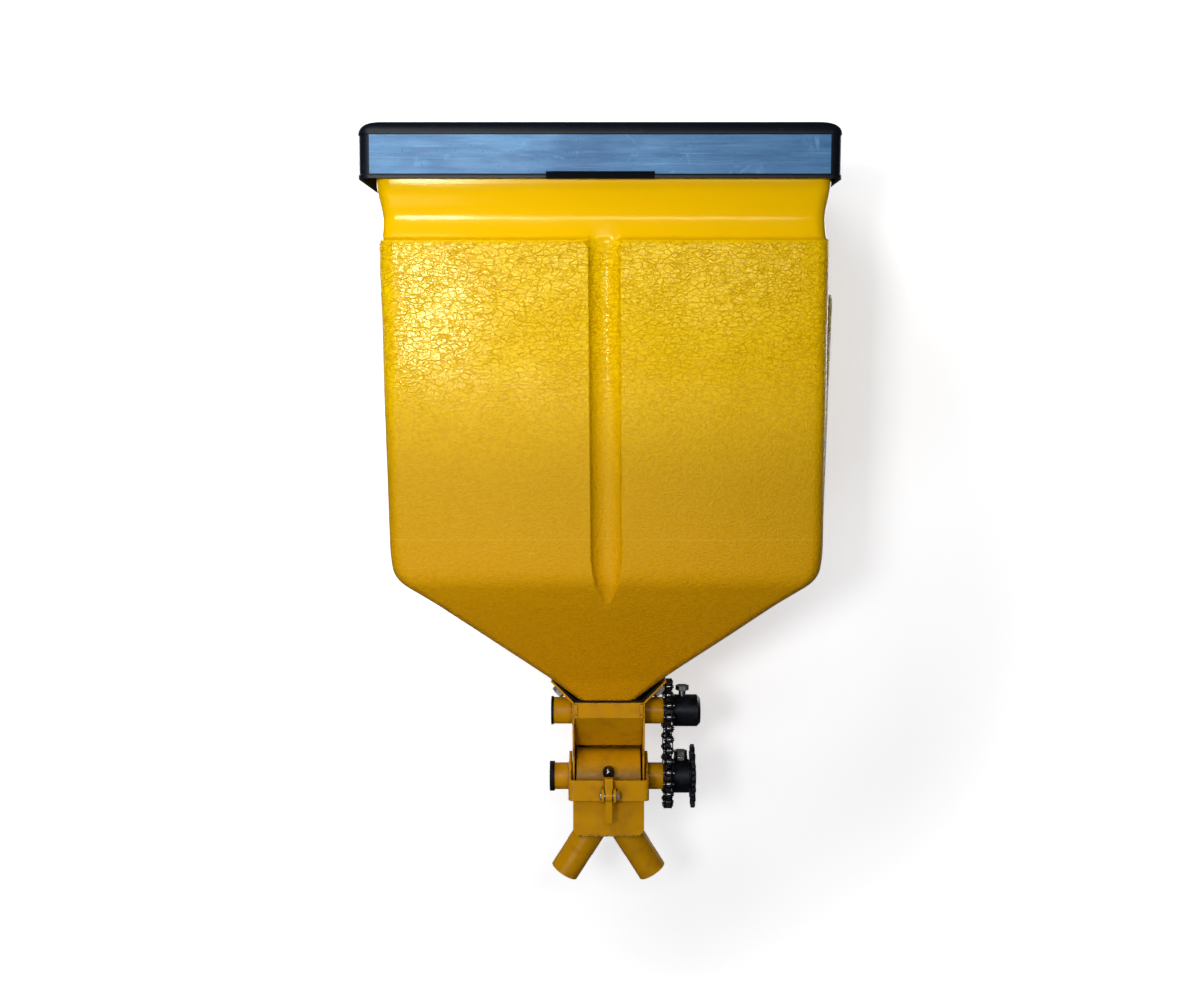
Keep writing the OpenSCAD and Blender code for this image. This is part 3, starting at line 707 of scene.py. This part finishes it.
def outlet_ring(s, n=72):
    """The seam round an outlet under the box, where it stands clear of the other outlet."""
    middle, reach, under = 0.0150, 0.0199, -0.0932
    pts = []
    for i in range(n + 1):
        g = 2 * math.pi * i / n
        x = middle + reach * math.cos(g)
        if x > 0.0:
            pts.append((s * x, SY + OUTLET_R * math.sin(g), under))
    cut = max(range(len(pts)), key=lambda i: (Vector(pts[i]) - Vector(pts[i - 1])).length)
    return pts[cut:] + pts[:cut]


def build_welds():
    thin, plain, thick = 0.0009, 0.0010, 0.0011
    eye_x, tube_r, eye_r = 0.0446, 0.0152, 0.0153
    slope_x, box_x, box_z, foot_z = 0.0376, 0.0396, -0.0502, -0.0928
    for row, z in (("upper", SHAFT_Z), ("lower", -SHAFT_Z)):
        for s, word in SIDES:
            bead(f"weld_{row}_{word}", ring_points(s * TUBE_X, SY, z, tube_r), thick, True)
    for s, word in SIDES:
        bead(f"weld_eye_{word}", ring_points(s * eye_x, SY, -SHAFT_Z, eye_r), plain, True)
        seam = line_points((s * PLATE_X, PLATE_FRONT, 0.041), (s * PLATE_X, PLATE_FRONT, 0.057))
        bead(f"weld_front_{word}", seam, thin)
        seam = line_points((s * slope_x, PLATE_FRONT, 0.0405), (s * slope_x, SY - 0.0100, 0.0012))
        bead(f"weld_slope_{word}", seam, thin)
        seam = line_points((s * box_x, SY - 0.030, box_z), (s * box_x, SY + 0.047, box_z))
        bead(f"weld_box_{word}", seam, thin)
    bead("weld_box_foot", line_points((-0.033, SY - 0.0458, foot_z), (0.033, SY - 0.0458, foot_z)), plain)
    for s, word in SIDES:
        bead(f"weld_outlet_{word}", outlet_ring(s), thick)


def build_washers():
    """Washers under the four wing bolts, square to the wings, which slope outward and down at 45 degrees."""
    washer_r, thick, eased = 0.0082, 0.0011, 0.0002
    for s, word in SIDES:
        for y, which in ((-0.030, "front"), (0.034, "rear")):
            bm = bmesh.new()
            bmesh.ops.create_cone(bm, cap_ends=True, segments=40, radius1=washer_r, radius2=washer_r,
                                  depth=thick)
            rims = [e for e in bm.edges if e.calc_face_angle(0) > 0.9]
            bmesh.ops.bevel(bm, geom=rims, offset=eased, segments=1, affect="EDGES")
            mesh = bpy.data.meshes.new(f"washer_{word}_{which}")
            bm.to_mesh(mesh)
            bm.free()
            obj = added(mesh, LOOKS["zinc"])
            obj.rotation_euler = (0, s * math.radians(135), 0)
            foot = Vector((s * WING_BOLT_X, SY + y, WING_BOLT_Z))
            obj.location = foot + Vector((s, 0, -1)).normalized() * 0.0006
            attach(obj, "frame")


build_hopper()
build_side_panel()
build_lid()
build_welds()
build_washers()


# ---------------------------------------------------------------- backdrop, lights and camera
def backdrop():
    """White seamless sweep behind and under the object, with a painted glow that is dimmer close behind the
    object.

    Its back is see-through, and it casts no shadow, for the views and the lights from behind."""
    wall_y, floor_z, r, steps = 0.135, -0.80, 0.13, 16
    turns = [math.pi / 2 * i / steps for i in range(1, steps + 1)]
    line = [(-2.6, floor_z), (wall_y - r, floor_z)]
    line += [(wall_y - r + r * math.sin(g), floor_z + r - r * math.cos(g)) for g in turns]
    line += [(wall_y, 2.6)]
    verts = [(x, y, z) for y, z in line for x in (-3.0, 3.0)]
    faces = [(2 * i, 2 * i + 1, 2 * i + 3, 2 * i + 2) for i in range(len(line) - 1)]
    mesh = bpy.data.meshes.new("backdrop")
    mesh.from_pydata(verts, [], faces)
    for p in mesh.polygons:
        p.use_smooth = True
    k = Look("white_paper")
    k.set(Base_Color=(0.93, 0.93, 0.93), Roughness=0.9, Specular_IOR_Level=0.1)
    far = k.t.nodes.new("ShaderNodeVectorMath")
    far.operation = "DISTANCE"
    k.put(far.inputs[0], k.where)
    k.put(far.inputs[1], (0.0, wall_y, 0.2))
    # Painted light: the backdrop glows, less close behind the object so the lamps' shadows show there, and
    # fully white further out.
    glow = k.mix(k.span(far.outputs["Value"], 0.45, 0.85), (0.56, 0.56, 0.57), (1, 1, 1))
    k.set(Emission_Color=glow, Emission_Strength=1.0)
    g = k.t.nodes.new("ShaderNodeNewGeometry")
    clear = k.t.nodes.new("ShaderNodeBsdfTransparent")
    pick = k.t.nodes.new("ShaderNodeMixShader")
    k.t.links.new(g.outputs["Backfacing"], pick.inputs[0])
    k.t.links.new(k.p.outputs[0], pick.inputs[1])
    k.t.links.new(clear.outputs[0], pick.inputs[2])
    k.t.links.new(pick.outputs[0], k.out.inputs["Surface"])
    obj = added(mesh, k.m)
    obj.visible_glossy = False
    obj.visible_diffuse = False
    obj.visible_shadow = False


def area_light(name, place, target, size, power, spread=180):
    data = bpy.data.lights.new(name, "AREA")
    data.shape = "RECTANGLE"
    data.size, data.size_y = size
    data.energy = power
    data.spread = math.radians(spread)
    obj = bpy.data.objects.new(name, data)
    bpy.context.scene.collection.objects.link(obj)
    obj.location = place
    obj.rotation_euler = (Vector(target) - Vector(place)).to_track_quat("-Z", "Y").to_euler()


backdrop()
area_light("key", (-0.50, -1.12, 1.22), (-0.05, -0.2, 0.42), (0.55, 0.55), 5.5)
area_light("left_window", (-0.43, -1.95, 0.51), (-0.19, -0.24, 0.50), (0.24, 0.30), 1.8, 56)
area_light("top_strip", (0.06, -1.76, 0.60), (0.0, -0.24, 0.56), (0.66, 0.13), 5.2)
area_light("low_fill", (-0.75, -1.65, -0.45), (0.0, -0.1, 0.10), (0.9, 0.5), 5.5)
area_light("back_left", (-1.3, 1.7, 1.2), (0.0, 0.0, 0.3), (1.2, 1.0), 24)
area_light("back_right", (1.4, 1.6, 0.7), (0.0, 0.0, 0.2), (1.0, 1.2), 16)

world = bpy.data.worlds.new("studio")
bpy.context.scene.world = world
world.use_nodes = True
world.node_tree.nodes["Background"].inputs["Color"].default_value = (0.9, 0.95, 1.0, 1)
world.node_tree.nodes["Background"].inputs["Strength"].default_value = 0.05

LOOK_DOWN = math.radians(5.71)
cam_data = bpy.data.cameras.new("camera")
cam_data.sensor_width = 36
cam_data.lens = 42.87
cam = bpy.data.objects.new("camera", cam_data)
bpy.context.scene.collection.objects.link(cam)
cam.location = (-0.0096, SY - 1.590, 0.4368)
cam.rotation_euler = (math.pi / 2 - LOOK_DOWN, 0, 0)
cam_data.clip_end = 50
bpy.context.scene.camera = cam
bpy.context.scene.view_settings.view_transform = "Standard"
